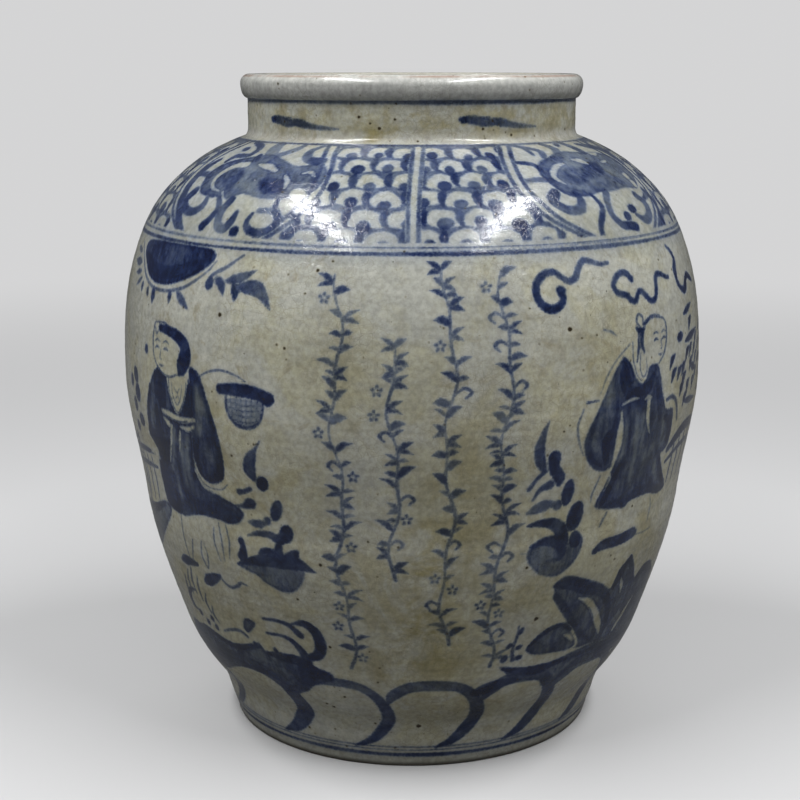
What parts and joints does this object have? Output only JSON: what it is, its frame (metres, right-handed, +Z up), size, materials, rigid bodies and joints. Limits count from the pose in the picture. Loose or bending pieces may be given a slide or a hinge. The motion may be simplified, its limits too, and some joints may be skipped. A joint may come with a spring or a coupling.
{
  "type": "porcelain storage jar",
  "caption": "Large wide-mouthed porcelain jar with a high shoulder and rolled lip, painted in cobalt blue under a crackled grey-cream glaze.",
  "frame": {"origin": "centre of the foot ring, on the surface that the jar stands on", "axes": "+Z up along the jar's axis; the side shown in the picture faces -Y, with +X to its right"},
  "size_m": [0.312, 0.312, 0.35],
  "materials": {
    "glazed_body": "glossy crackled glaze over underglaze cobalt painting",
    "luting_slip": "matte fired slip"
  },
  "bodies": {
    "root": {"foot_wall": "glazed_body", "base_disc": "glazed_body", "lower_belly": "glazed_body", "middle_belly": "glazed_body", "lower_shoulder": "glazed_body", "upper_shoulder": "glazed_body", "neck_and_mouth": "glazed_body", "luting_coil_disc": "luting_slip", "luting_coil_foot": "luting_slip", "luting_coil_lower": "luting_slip", "luting_coil_belly": "luting_slip", "luting_coil_shoulder": "luting_slip", "luting_coil_neck": "luting_slip"}
  },
  "joints": []
}
